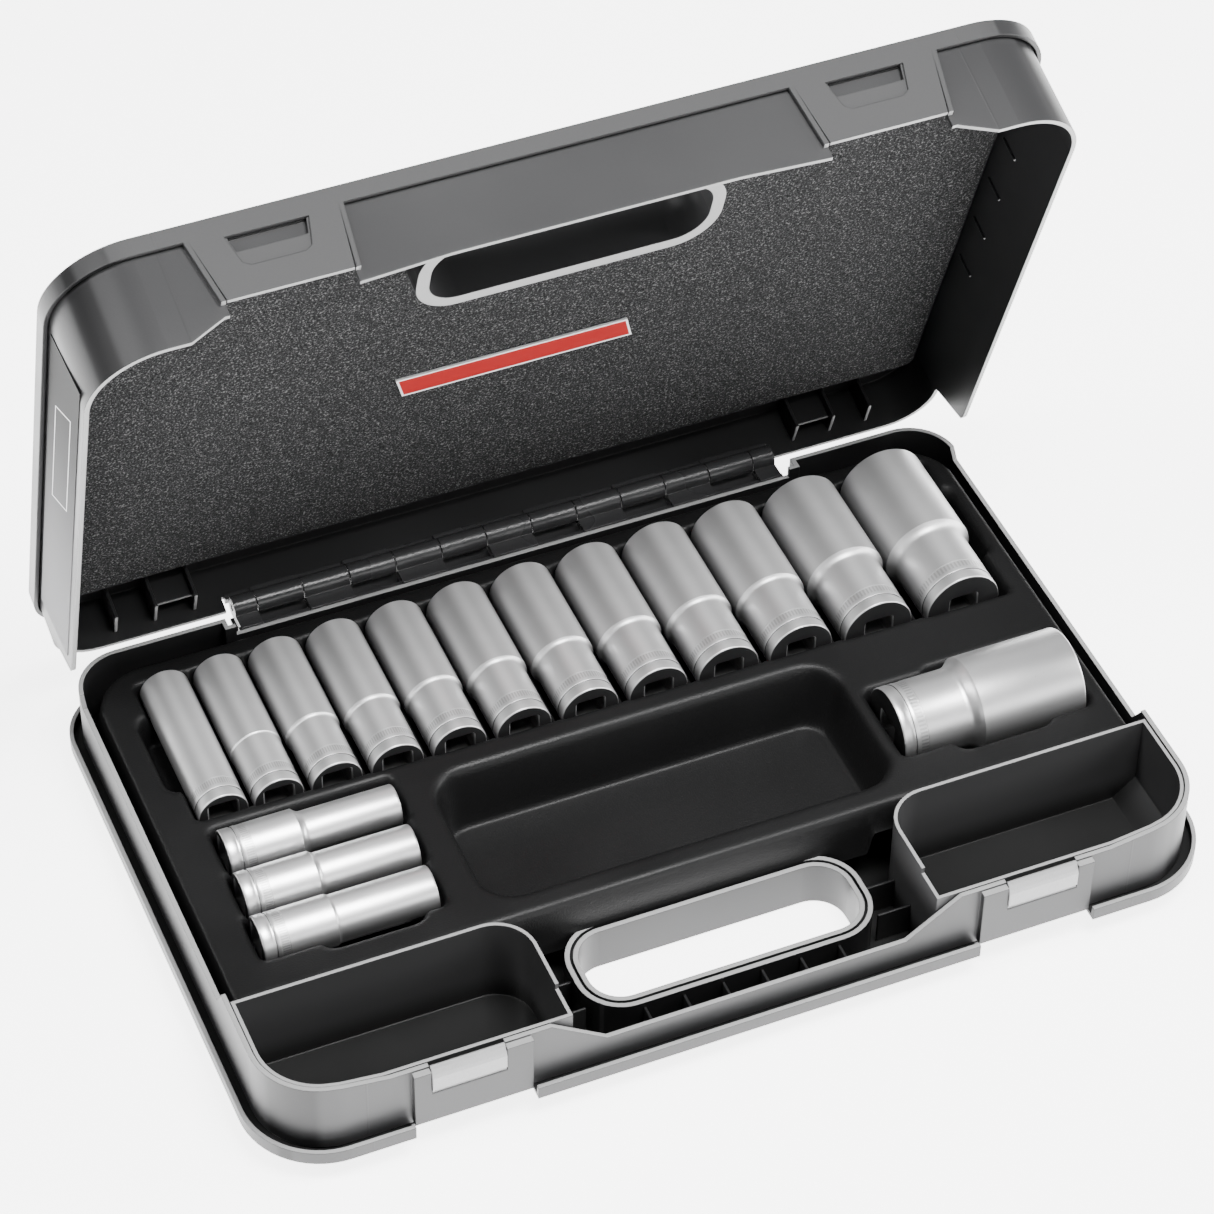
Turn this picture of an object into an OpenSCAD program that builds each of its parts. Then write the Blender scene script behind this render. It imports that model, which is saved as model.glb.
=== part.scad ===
// Deep socket set in a hinged plastic carrying case, all sizes in millimetres.
// X runs along the case, +Y towards the hinge, +Z up. The origin is the middle
// of the footprint, on the surface that the case rests on.

/* [Case] */
// Width of the case over its bumper lips
case_w = 424; // [420:1:430]
// Front face of the bumper lips, ahead of the middle
case_front = 142; // [142:1:146]
// Height of the closed case
case_h = 67; // [67:1:72]
// Wall thickness of the base and the lid
wall = 2; // [1.8:0.1:2.2]
// Corner radius of the front of the case
front_r = 30; // [26:1:32]
// Corner radius of the back of the case
back_r = 22; // [18:1:24]
// How far the lid stands open, in degrees from closed
lid_open = 72; // [0:1:105]

/* [Hinge] */
// Distance of the hinge axis behind the middle
hinge_y = 136; // [135:0.5:137]
// Height of the hinge axis
hinge_z = 40; // [39:0.5:41]
// Radius of the hinge knuckles
knuckle_r = 5; // [4.5:0.1:5]
// Radius of the steel hinge pin
pin_r = 1.6; // [1.4:0.1:2]

/* [Sockets] */
// Height of the socket axes above the resting surface
socket_z = 36; // [35:0.5:36]
// Free space between two neighbours in the row
row_gap = 1.9; // [1.8:0.1:2.2]
// Side of the square drive hole
drive = 12.9; // [12.7:0.1:13.1]

/* [Handle] */
// Half length of the hand opening
grip_half = 60; // [56:1:62]
// Front edge of the hand opening
grip_front = -116; // [-117:1:-114]
// Back edge of the hand opening
grip_back = -80; // [-82:1:-79]

/* [Hidden] */
$fn = 64;
tiny = 0.01;
big = 400;

// Case shells
half_w = case_w / 2;
lip_t = 1.8;
gutter_gap = 1;
lid_half = half_w - lip_t - gutter_gap;
lid_front = -case_front + lip_t + gutter_gap;
base_half = lid_half - wall - 1;
base_front = lid_front + wall + 1;
base_back = 128;
mid_back = 123.5;
mid_half = 134;
lid_back = 142;
floor_t = 2.5;
foot_inset = 11;
foot_h = 13;
flange_z = 10;
flange_t = 2;
lip_top = 16.5;
rim_z = 48;
catch_rim_z = 44.5;
grip_rim_z = 27;
side_rim_z = 38;
corner_rim_z = 43;
lid_rim_z = 17;
lid_catch_z = 24;
lid_grip_z = 25;
lid_back_z = 41;
lid_hinge_z = 48;
top_t = 3;

// Latches
catch_in = 98;
catch_out = 150;
tab_in = 110;
tab_out = 142;
tab_fit = 0.3;
tab_low = 31;
tab_top = 45;
panel_y = base_front - 2.8;
panel_fit = 0.8;
bead_r = 1.4;
bead_y = panel_y + 1.6;
block_y = -case_front;
block_t = 1.9;
block_low = 29;
block_top = 58;
scoop_step = 49;

// Hand opening
ring_t = 5.5;
grip_r = 14;
base_ring_z = 22;
lid_ring_z = 40;

// Hinge
knuckle_n = 13;
knuckle_pitch = 21.4;
knuckle_end = 10.7;
knuckle_play = 0.25;
leaf_half = 129;
leaf_low = 28;
leaf_gap = 0.02;
ledge_top = hinge_z - knuckle_r - 2.3;

// Compartments
bin_in = 80;
bin_t = 1.5;
bin_out = base_half - wall - 0.5;
bin_front = base_front + wall + 0.5;
bin_back = -78.5;
bin_floor = 4.5;
bin_r = 18;
bin_rim_z = 47.5;

// Insert tray
tray_half = base_half - wall - 0.8;
tray_front = bin_back + 0.5;
tray_back = mid_back - wall - 0.5;
tray_z = 40;
sheet = 1.4;
seat = 1;
well = [-86, 97, -62, 9];
well_r = 15;
well_floor = 9;
ridge_z = 30.25;
seam_gap = 0.02;
web_in = 3;
web_t = 4;

// Foam pad in the lid
foam_low = 58;
foam_back = 124;

// Socket tables: nominal size, working-end diameter, drive-end diameter, length
ROW = [
    [15, 21.9, 21.9, 78], [16, 22.9, 22, 78.5], [17, 24.4, 22.6, 79],
    [18, 25.5, 23.4, 79.5], [19, 26.5, 24.2, 80], [20, 27.7, 25, 80.5],
    [21, 28.8, 26, 81], [22, 30, 27, 81.5], [23, 31.3, 28.4, 82],
    [24, 32.6, 29.6, 82.5], [27, 36.6, 32, 83.5], [30, 40.3, 34.6, 84.5]
];
SIDE = [[14, 20.6, 22, 76], [13, 19.4, 22, 76], [12, 18, 22, 76]];
LARGE = [32, 42.4, 35.6, 84];
row_x0 = -170;
row_back = 105;
side_x = [-181, -179.5, -178];
side_y = [-44, -19.5, 5];
through_r = 5.8;
hex_deep = 42;
large_x = 106;
large_y = -33;

// Middle of each socket of the row, found by packing them side by side
function row_x(i) = i == 0 ? row_x0 :
    row_x(i - 1) + (ROW[i - 1][1] + ROW[i][1]) / 2 + row_gap;

// ---------------------------------------------------------------- helpers

// Rounded rectangle with its own radius at the front and at the back
module outline(half, front, back, rf, rb) {
    translate([-half, front + rf])
        square([2 * half, back - front - rf - rb]);
    translate([-half + rf, front])
        square([2 * (half - rf), rf + 1]);
    translate([-half + rb, back - rb - 1])
        square([2 * (half - rb), rb + 1]);
    for (s = [-1, 1]) {
        translate([s * (half - rf), front + rf]) circle(rf);
        translate([s * (half - rb), back - rb]) circle(rb);
    }
}

module slab(z0, z1) {
    translate([0, 0, z0]) linear_extrude(z1 - z0) children();
}

// A profile drawn in X and Z, running from y0 to y1
module along_y(y0, y1) {
    translate([0, y1, 0]) rotate([90, 0, 0])
        linear_extrude(y1 - y0) children();
}

// A profile drawn in Y and Z, running from x0 to x1
module along_x(x0, x1) {
    translate([x0, 0, 0]) rotate([90, 0, 90])
        linear_extrude(x1 - x0) children();
}

module block(x0, x1, y0, y1, z0, z1) {
    translate([x0, y0, z0]) cube([x1 - x0, y1 - y0, z1 - z0]);
}

// Rounded slot seen from above, used for the hand opening and its ring
module slot_outline(half, y0, y1, r) {
    for (s = [-1, 1], y = [y0 + r, y1 - r])
        translate([s * (half - r), y]) circle(r);
    translate([-half + r, y0]) square([2 * (half - r), y1 - y0]);
    translate([-half, y0 + r]) square([2 * half, y1 - y0 - 2 * r]);
}

module grip_outline(grow) {
    slot_outline(grip_half + grow, grip_front - grow, grip_back + grow,
        grip_r + grow);
}

// Where one hinge knuckle starts along X
function knuckle_x(k) = k == 0 ? -(knuckle_n - 2) * knuckle_pitch / 2
    - knuckle_end : (k - knuckle_n / 2) * knuckle_pitch;
function knuckle_w(k) = k == 0 || k == knuckle_n - 1 ? knuckle_end
    : knuckle_pitch;

module knuckle(k) {
    along_x(knuckle_x(k) + knuckle_play, knuckle_x(k) + knuckle_w(k) - knuckle_play)
        translate([hinge_y, hinge_z]) circle(knuckle_r);
}

module hinge_bore(r) {
    along_x(-half_w, half_w) translate([hinge_y, hinge_z]) circle(r);
}

// Turns everything in the lid from closed to open about the hinge axis
module lid_pose() {
    translate([0, hinge_y, hinge_z]) rotate([-lid_open, 0, 0])
        translate([0, -hinge_y, -hinge_z]) children();
}

// -------------------------------------------------------------- base shell

module tub_solid(inset) {
    low = foot_inset;
    hull() {
        slab(inset, inset + tiny)
            outline(base_half - low, base_front + low, base_back - low / 2,
                front_r - low, back_r - low / 2);
        slab(foot_h, foot_h + tiny)
            outline(base_half - inset, base_front + inset, base_back - inset,
                front_r - inset, back_r - inset);
    }
    slab(foot_h, rim_z + (inset > 0 ? 1 : 0))
        outline(base_half - inset, base_front + inset, base_back - inset,
            front_r - inset, back_r - inset);
}

module flange() {
    difference() {
        slab(flange_z, lip_top)
            outline(half_w, -case_front, base_back + 5, front_r + 5, back_r + 5);
        slab(flange_z + flange_t, lip_top + 1)
            outline(half_w - lip_t, -case_front + lip_t, base_back + 5 - lip_t,
                front_r + 5 - lip_t, back_r + 5 - lip_t);
        slab(flange_z - 1, lip_top + 1)
            outline(base_half - 1, base_front + 1, base_back - 1,
                front_r - 1, back_r - 1);
        block(-mid_half, mid_half, mid_back - 1, big, 0, rim_z);
        for (s = [-1, 1])
            block(s > 0 ? catch_in : -catch_out, s > 0 ? catch_out : -catch_in,
                -big, base_front - tiny, 0, rim_z);
    }
}

module catch_panel(s) {
    x0 = s > 0 ? catch_in : -catch_out;
    block(x0 + panel_fit, x0 + catch_out - catch_in - panel_fit, panel_y,
        base_front + wall, foot_h + 1, catch_rim_z - 1);
}

// Space for a latch tab: an open notch with a round seat along its foot
module tab_notch(s) {
    x0 = s > 0 ? tab_in : -tab_out;
    x1 = x0 + tab_out - tab_in;
    block(x0, x1, panel_y - 2, base_front + wall + 1, tab_low, rim_z + 1);
    along_x(x0, x1) translate([bead_y, tab_low]) circle(bead_r + 0.05);
}

// Everything above the wavy front rim, and above the lower sides and back
module base_rim_cut() {
    along_y(-big, base_front + wall + 0.4)
        polygon([[-big, rim_z + 9], [-180, rim_z + 9], [-180, rim_z],
            [-158, catch_rim_z], [-90, catch_rim_z], [-66, grip_rim_z],
            [66, grip_rim_z], [90, catch_rim_z], [158, catch_rim_z],
            [180, rim_z], [180, rim_z + 9], [big, rim_z + 9],
            [big, rim_z + 30], [-big, rim_z + 30]]);
    along_x(-big, big)
        polygon([[-75, rim_z + 9], [-74, rim_z - 1], [-68, side_rim_z],
            [104, side_rim_z], [108, corner_rim_z], [big, corner_rim_z],
            [big, rim_z + 9]]);
    block(-mid_half + 3, mid_half - 3, mid_back - wall - 1, base_back + 1,
        side_rim_z, rim_z + 1);
}

module base_shell() {
    color("#4c4c4e") difference() {
        union() {
            difference() {
                tub_solid(0);
                difference() {
                    tub_solid(wall);
                    block(-mid_half - wall, mid_half + wall, mid_back - wall,
                        base_back, 0, rim_z + 2);
                }
                base_rim_cut();
                block(-mid_half, mid_half, mid_back, base_back + 1, -1, rim_z + 1);
            }
            flange();
            for (s = [-1, 1]) catch_panel(s);
            slab(0, base_ring_z) grip_outline(ring_t);
        }
        slab(-1, base_ring_z + 1) grip_outline(0);
        slab(base_ring_z - 2, base_ring_z + 1) difference() {
            grip_outline(ring_t * 0.62);
            grip_outline(ring_t * 0.38);
        }
        for (s = [-1, 1]) tab_notch(s);
    }
}

// ------------------------------------------------------------ compartments

// Outline of one compartment, drawn for the right side of the case
module bin_outline(inset) {
    fr = front_r - wall - 0.5 - inset;
    r = bin_r - inset;
    x0 = bin_in + inset;
    x1 = bin_out - inset;
    y0 = bin_front + inset;
    y1 = bin_back - inset;
    translate([x0, y0]) square([x1 - x0 - fr, y1 - y0 - r]);
    translate([x0 + r, y0 + fr]) square([x1 - x0 - r, y1 - y0 - fr]);
    translate([x0 + r, y1 - r]) circle(r);
    translate([x1 - fr, y0 + fr]) circle(fr);
}

module bin_solid(inset, z_low) {
    lift = foot_h + 1;
    hull() {
        slab(z_low, z_low + tiny) intersection() {
            bin_outline(inset);
            outline(base_half - 14, base_front + 14, base_back, front_r - 14,
                back_r);
        }
        slab(lift, lift + tiny) bin_outline(inset);
    }
    slab(lift, bin_rim_z + inset) bin_outline(inset);
}

module bin_rim_cut() {
    along_y(-big, bin_front + front_r / 2)
        polygon([[bin_in - 1, 60], [bin_in - 1, catch_rim_z], [160, catch_rim_z],
            [182, bin_rim_z + 0.2], [182, 60]]);
}

module compartment() {
    color("#3f3f41") difference() {
        bin_solid(0, floor_t + 0.3);
        bin_solid(bin_t, bin_floor);
        bin_rim_cut();
    }
}

module right_compartment() {
    compartment();
}

module left_compartment() {
    mirror([1, 0, 0]) compartment();
}

// ------------------------------------------------------------- insert tray

// One socket seat along Y: a round trough
module row_seat(i, grow) {
    along_y(row_back - ROW[i][3] - 2 - grow, row_back + 1.5 + grow)
        translate([row_x(i), socket_z]) circle(ROW[i][1] / 2 + seat + grow);
}

// One socket seat along X
module cross_seat(x0, size, y, grow) {
    along_x(x0 - 1.5 - grow, x0 + size[3] + 1.5 + grow)
        translate([y, socket_z]) circle(max(size[1], size[2]) / 2 + seat + grow);
}

// The same seats seen from above
module row_window(grow) {
    for (i = [0 : len(ROW) - 1]) {
        r = ROW[i][1] / 2 + seat + grow;
        translate([row_x(i) - r, row_back - ROW[i][3] - 2 - grow])
            square([2 * r, ROW[i][3] + 3.5 + 2 * grow]);
    }
}

module cross_window(x0, size, y, grow) {
    r = max(size[1], size[2]) / 2 + seat + grow;
    translate([x0 - 1.5 - grow, y - r]) square([size[3] + 3 + 2 * grow, 2 * r]);
}

// Room for a fingertip beside a socket
module finger_notch(x, y, along_row, grow) {
    w = along_row ? 7 : 22;
    h = along_row ? 22 : 7;
    for (dx = [-1, 1], dy = [-1, 1])
        translate([x + dx * (w - 6), y + dy * (h - 6)]) circle(6 + grow);
    translate([x - w - grow, y - h + 6]) square([2 * (w + grow), 2 * (h - 6)]);
    translate([x - w + 6, y - h - grow]) square([2 * (w - 6), 2 * (h + grow)]);
}

module well_outline(grow) {
    translate([(well[0] + well[1]) / 2, 0])
        slot_outline((well[1] - well[0]) / 2 + grow, well[2] - grow,
            well[3] + grow, well_r + grow);
}

module seat_windows(grow) {
    row_window(grow);
    for (i = [0 : len(SIDE) - 1])
        cross_window(side_x[i], SIDE[i], side_y[i], grow);
    cross_window(large_x, LARGE, large_y, grow);
    finger_notch(row_x(0) - 10.5, 66, true, grow);
    finger_notch(row_x(11) + 18, 66, true, grow);
    finger_notch(-135, side_y[0] - 9, false, grow);
    finger_notch(150, large_y - 18, false, grow);
}

module tray_outline(inset) {
    intersection() {
        outline(tray_half - inset, -140, tray_back - inset, 10, 26 - inset);
        translate([-big, tray_front + inset]) square([2 * big, big]);
    }
}

// Top sheet of the tray with its skirt and the walls round each opening
module insert_tray() {
    color("#1d1d1e") difference() {
        union() {
            slab(tray_z - sheet, tray_z) tray_outline(2.5);
            difference() {
                slab(tray_z - 14, tray_z - sheet + tiny) tray_outline(2.5);
                slab(tray_z - 15, tray_z) tray_outline(2.5 + sheet);
            }
            difference() {
                slab(tray_z - 14, tray_z - 14 + sheet) tray_outline(0);
                slab(tray_z - 15, tray_z) tray_outline(2.5 + sheet);
            }
            slab(ridge_z, tray_z) seat_windows(sheet);
        }
        slab(ridge_z - 1, tray_z + 1) seat_windows(0);
        slab(ridge_z - 1, tray_z + 1) well_outline(sheet + seam_gap);
    }
}

// The lower half of a group of seats, under the tray's top sheet
module seat_bed() {
    color("#1d1d1e") intersection() {
        difference() {
            children(0);
            children(1);
        }
        block(-big, big, -big, big, 0, ridge_z - seam_gap);
    }
}

module row_seats() {
    seat_bed() {
        union() {
            for (i = [0 : len(ROW) - 1]) row_seat(i, sheet);
            block(row_x(0), row_x(len(ROW) - 1), row_back - ROW[0][3] + web_in,
                row_back - web_in, ridge_z - web_t, ridge_z);
        }
        for (i = [0 : len(ROW) - 1]) row_seat(i, 0);
    }
}

module side_seats() {
    seat_bed() {
        union() {
            for (i = [0 : len(SIDE) - 1])
                cross_seat(side_x[i], SIDE[i], side_y[i], sheet);
            block(side_x[len(SIDE) - 1], side_x[0] + SIDE[0][3], side_y[0],
                side_y[len(SIDE) - 1], ridge_z - web_t, ridge_z);
        }
        for (i = [0 : len(SIDE) - 1])
            cross_seat(side_x[i], SIDE[i], side_y[i], 0);
    }
}

module large_seat() {
    seat_bed() {
        cross_seat(large_x, LARGE, large_y, sheet);
        cross_seat(large_x, LARGE, large_y, 0);
    }
}

// Deep recess for the handle tool in the middle of the tray
module tool_recess() {
    color("#1d1d1e") difference() {
        slab(well_floor - sheet, tray_z) well_outline(sheet);
        slab(well_floor, tray_z + 1) well_outline(0);
    }
}

// ------------------------------------------------------------------ hinge

// Strip behind the base that carries every other knuckle
module base_hinge_leaf() {
    color("#3c3c3e") difference() {
        union() {
            block(-leaf_half, leaf_half, mid_back + leaf_gap, mid_back + wall,
                leaf_low, side_rim_z);
            block(-leaf_half, leaf_half, mid_back + wall - tiny, hinge_y + 1,
                ledge_top - wall, ledge_top);
            for (k = [0 : 2 : knuckle_n - 1]) {
                knuckle(k);
                block(knuckle_x(k) + knuckle_play,
                    knuckle_x(k) + knuckle_w(k) - knuckle_play,
                    mid_back + leaf_gap, hinge_y, hinge_z - knuckle_r, hinge_z - 1);
            }
        }
        hinge_bore(pin_r + 0.02);
    }
}

// Strip along the lid's back edge that carries the knuckles between
module lid_hinge_leaf() {
    color("#3c3c3e") lid_pose() difference() {
        union() {
            block(-leaf_half, leaf_half, lid_back - 2 * wall, lid_back,
                lid_hinge_z - 2.5, lid_hinge_z - leaf_gap);
            for (k = [1 : 2 : knuckle_n - 1]) {
                knuckle(k);
                block(knuckle_x(k) + knuckle_play,
                    knuckle_x(k) + knuckle_w(k) - knuckle_play,
                    hinge_y + 1, lid_back, hinge_z, lid_hinge_z - leaf_gap);
            }
        }
        hinge_bore(pin_r + 0.06);
    }
}

module hinge_pin() {
    len = (knuckle_n - 2) * knuckle_pitch + 2 * knuckle_end - 1;
    color("#8a8c8f") along_x(-len / 2, len / 2)
        translate([hinge_y, hinge_z]) circle(pin_r);
}

// ---------------------------------------------------------------- latches

// Press tab: a ramp on top, a flat face, and a round bead that it rocks on
module latch_tab(s) {
    x0 = (s > 0 ? tab_in : -tab_out) + tab_fit;
    x1 = x0 + tab_out - tab_in - 2 * tab_fit;
    front = panel_y - 0.6;
    back = bead_y + 0.9;
    color("#b9bbbd") union() {
        along_x(x0, x1)
            polygon([[front + 0.8, tab_low + 1], [front, tab_low + 2.2],
                [front, tab_top - 5], [front + 0.6, tab_top - 3.4],
                [front + 2, tab_top - 1], [front + 3.4, tab_top],
                [back, tab_top - 0.4], [back - 0.6, tab_low + 0.6],
                [bead_y - 0.9, tab_low + 0.6]]);
        along_x(x0, x1) translate([bead_y, tab_low]) circle(bead_r);
    }
}

module left_latch_tab() {
    latch_tab(-1);
}

module right_latch_tab() {
    latch_tab(1);
}

// -------------------------------------------------------------------- lid

module lid_wall_solid(inset, z0, z1) {
    slab(z0, z1)
        outline(lid_half - inset, lid_front + inset, lid_back - inset,
            front_r + 2 - inset, back_r - inset);
}

// Bumper lip that turns down round the edge of the top
module lid_lip() {
    difference() {
        union() {
            slab(case_h - 9, case_h - 1.5)
                outline(half_w, -case_front, lid_back, front_r + 5, back_r + 2);
            hull() {
                slab(case_h - 1.6, case_h - 1.5)
                    outline(half_w, -case_front, lid_back, front_r + 5,
                        back_r + 2);
                slab(case_h - tiny, case_h)
                    outline(half_w - 2, -case_front + 2, lid_back - 2,
                        front_r + 3, back_r);
            }
        }
        slab(case_h - 10, case_h - top_t)
            outline(half_w - lip_t, -case_front + lip_t, lid_back - lip_t,
                front_r + 5 - lip_t, back_r + 2 - lip_t);
    }
}

// Matt block that drops over a latch tab, with a thumb scoop
module latch_block(s) {
    mirror([s < 0 ? 1 : 0, 0, 0]) {
        along_y(block_y, block_y + block_t)
            polygon([[catch_in - 3, block_top + 2], [catch_in + 1, block_low],
                [catch_out, block_low], [catch_out + 6, block_top + 2]]);
        along_y(block_y, lid_front + wall) {
            polygon([[catch_in - 5, block_top + 2], [catch_in - 1.5, block_low],
                [catch_in + 0.5, block_low], [catch_in - 3, block_top + 2]]);
            polygon([[catch_out + 6, block_top + 2], [catch_out + 0.5, block_low],
                [catch_out + 2.5, block_low], [catch_out + 8, block_top + 2]]);
        }
        block(catch_in - 4, catch_out + 7, block_y, lid_front + wall, block_top,
            block_top + 3);
    }
}

module lid_openings() {
    for (s = [-1, 1]) mirror([s < 0 ? 1 : 0, 0, 0]) {
        // room behind the block for the catch panel and the tab
        along_y(block_y + block_t + tiny, lid_front + wall + 1)
            polygon([[catch_in + 0.5, lid_rim_z - 1], [catch_in + 0.5, block_low],
                [catch_in - 1.4, scoop_step - 1.5], [catch_out + 3.8, scoop_step - 1.5],
                [catch_out + 0.5, block_low], [catch_out + 0.5, lid_rim_z - 1]]);
        // thumb scoop, deeper in its upper half
        along_y(block_y - 1, block_y + 1) {
            polygon([[tab_in - 2, block_top - 2], [tab_in + 1, 43.5],
                [tab_in + 4, 41.5], [tab_out - 6, 41.5], [tab_out - 3, 43.5],
                [tab_out, block_top - 2]]);
        }
        along_y(block_y - 1, lid_front + wall - 1.2)
            polygon([[tab_in - 1, block_top - 2], [tab_in + 0.5, scoop_step],
                [tab_out - 2.5, scoop_step], [tab_out - 1, block_top - 2]]);
    }
    slab(lid_ring_z - 1, case_h + 1) grip_outline(0);
}

// Everything below the free edges of the lid walls
module lid_rim_cut() {
    along_y(-big, lid_front + wall + 0.4)
        polygon([[-catch_out - 18, 0], [-catch_out - 18, lid_rim_z],
            [-catch_out - 2.5, lid_catch_z], [-catch_in, lid_catch_z],
            [-grip_half, lid_grip_z + 1], [grip_half, lid_grip_z + 1],
            [catch_in, lid_catch_z], [catch_out + 2.5, lid_catch_z],
            [catch_out + 18, lid_rim_z], [catch_out + 18, 0]]);
    along_x(-big, big)
        polygon([[104, 0], [104, lid_rim_z], [107, lid_rim_z + 1],
            [117, lid_back_z - 1], [120, lid_back_z], [big, lid_back_z],
            [big, 0]]);
    block(-mid_half + 4, mid_half - 4, hinge_y - 6, big, 0, lid_hinge_z);
}

module lid_shell() {
    color("#5b5c5e") lid_pose() difference() {
        union() {
            difference() {
                lid_wall_solid(0, lid_rim_z, case_h - 1);
                lid_wall_solid(wall, lid_rim_z - 1, case_h - top_t);
                lid_rim_cut();
            }
            lid_lip();
            for (s = [-1, 1]) latch_block(s);
            slab(lid_ring_z, case_h - 1) grip_outline(ring_t);
        }
        lid_openings();
    }
}

module foam_pad() {
    color("#2c2d2e") lid_pose() difference() {
        slab(foam_low, case_h - top_t - 0.05)
            outline(lid_half - wall - 2, lid_front + wall + 1, foam_back,
                front_r - 2, 4);
        slab(foam_low - 1, case_h) grip_outline(ring_t + 0.8);
    }
}

// Slanted blank name plate on the foam
module badge_plate() {
    color("#b02a2a") lid_pose() slab(foam_low - 1, foam_low)
        polygon([[-58, 7], [46, 7], [50, 21], [-54, 21]]);
}

// Blank printed label on the left wall of the lid
module side_label() {
    color("#77797b") lid_pose() along_x(-lid_half - 0.35, -lid_half)
        polygon([[-104, 56], [-114, 22], [100, 22], [110, 56]]);
}

// ---------------------------------------------------------------- sockets

// A deep socket on the X axis, its drive end at the origin
module socket(size) {
    af = size[0] + 0.2;
    r1 = size[1] / 2;
    r2 = size[2] / 2;
    len = size[3];
    neck = r1 == r2 ? len * 0.5 : r1 > r2 ? len * 0.36 : len * 0.42;
    step = abs(r1 - r2) * 1.6 + 0.5;
    rotate([0, 90, 0]) difference() {
        rotate_extrude()
            polygon([[0, 0], [r2 - 0.8, 0], [r2, 0.8], [r2, 5.2], [r2 - 0.45, 5.5],
                [r2 - 0.45, 6.1], [r2, 6.4], [r2, neck], [r1, neck + step],
                [r1, len - 0.9], [r1 - 0.9, len], [0, len]]);
        translate([0, 0, 8 - tiny]) cube([drive, drive, 16], center = true);
        cylinder(h = len + 1, r = through_r);
        translate([0, 0, len - hex_deep])
            cylinder(h = hex_deep + 1, d = af / cos(30), $fn = 6);
        translate([0, 0, len - 1.2])
            cylinder(h = 1.3, r1 = af / 2, r2 = af / cos(30) / 2 + 0.5);
    }
}

module row_socket(i) {
    color("#c9cbcd")
        translate([row_x(i), row_back - ROW[i][3], socket_z])
            rotate([0, 0, 90]) socket(ROW[i]);
}

module side_socket(i) {
    color("#d8dadc") translate([side_x[i], side_y[i], socket_z])
        socket(SIDE[i]);
}

module large_socket() {
    color("#d8dadc") translate([large_x, large_y, socket_z]) socket(LARGE);
}

base_shell();
left_compartment();
right_compartment();
insert_tray();
row_seats();
side_seats();
large_seat();
tool_recess();
base_hinge_leaf();
lid_hinge_leaf();
hinge_pin();
left_latch_tab();
right_latch_tab();
lid_shell();
foam_pad();
badge_plate();
side_label();
large_socket();  // socket_32mm
for (i = [0 : len(SIDE) - 1])
    side_socket(i);
for (i = [0 : len(ROW) - 1])
    row_socket(i);
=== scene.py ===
"""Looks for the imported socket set: finer sockets, tray and foam, materials, light, camera."""

import math

import bmesh
import bpy
import numpy as np
from mathutils import Matrix, Vector


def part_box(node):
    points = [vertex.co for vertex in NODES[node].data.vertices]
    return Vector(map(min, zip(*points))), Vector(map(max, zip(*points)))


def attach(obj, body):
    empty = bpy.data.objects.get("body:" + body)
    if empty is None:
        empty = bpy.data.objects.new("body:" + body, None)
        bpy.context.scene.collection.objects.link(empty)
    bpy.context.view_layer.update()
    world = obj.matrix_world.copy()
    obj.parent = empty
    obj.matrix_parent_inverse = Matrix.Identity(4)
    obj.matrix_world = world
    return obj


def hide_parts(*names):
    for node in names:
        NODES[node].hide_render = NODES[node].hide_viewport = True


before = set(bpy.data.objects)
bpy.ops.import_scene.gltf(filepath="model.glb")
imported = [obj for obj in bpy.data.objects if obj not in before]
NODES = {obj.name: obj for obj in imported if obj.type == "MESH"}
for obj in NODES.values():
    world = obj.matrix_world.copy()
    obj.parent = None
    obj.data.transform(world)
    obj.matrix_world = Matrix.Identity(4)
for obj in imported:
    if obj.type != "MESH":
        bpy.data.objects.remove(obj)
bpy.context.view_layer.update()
MM = 0.001

# Nominal size, working-end diameter, drive-end diameter and length, as in part.scad
ROW = [
    (15, 21.9, 21.9, 78), (16, 22.9, 22, 78.5), (17, 24.4, 22.6, 79),
    (18, 25.5, 23.4, 79.5), (19, 26.5, 24.2, 80), (20, 27.7, 25, 80.5),
    (21, 28.8, 26, 81), (22, 30, 27, 81.5), (23, 31.3, 28.4, 82),
    (24, 32.6, 29.6, 82.5), (27, 36.6, 32, 83.5), (30, 40.3, 34.6, 84.5),
]
SIDE = [(14, 20.6, 22, 76), (13, 19.4, 22, 76), (12, 18, 22, 76)]
LARGE = (32, 42.4, 35.6, 84)
DRIVE = 12.9
HEX_DEEP = 42
# Satin streaks along a socket, painted highlights and painted shade in its colour: share of the
# way from its right side to its left, grey
PAINTED_STREAKS = [(0.12, 0.42), (0.27, 0.95), (0.42, 0.78), (0.52, 1.0), (0.64, 0.66),
           (0.78, 0.98), (0.90, 0.46)]
SEAT = 1.0
TRAY_Z = 40.0
HINGE = Vector((0, 0.136, 0.040))
LID_OPEN = math.radians(72)
FLOOR_GLOW = 4.5
TRAY_NODES = ("insert_tray", "row_seats", "side_seats", "large_seat", "tool_recess")


def middle(node):
    low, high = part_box(node)
    return (low + high) / 2


# ------------------------------------------------------------ camera and light

def add_camera():
    forward = Vector((0.2787, 0.6487, -0.7081)).normalized()
    right = forward.cross(Vector((0, 0, 1))).normalized()
    up = right.cross(forward)
    roll = 0.0135
    x = right * math.cos(roll) + up * math.sin(roll)
    y = -right * math.sin(roll) + up * math.cos(roll)
    data = bpy.data.cameras.new("camera")
    data.sensor_width = 36
    data.lens = 126.97
    data.shift_x = 0.0148
    data.shift_y = -0.0018
    data.clip_end = 20
    camera = bpy.data.objects.new("camera", data)
    matrix = Matrix((x, y, -forward)).transposed().to_4x4()
    matrix.translation = Vector((-0.5023, -1.1271, 1.3568))
    camera.matrix_world = matrix
    bpy.context.scene.collection.objects.link(camera)
    bpy.context.scene.camera = camera


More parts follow.
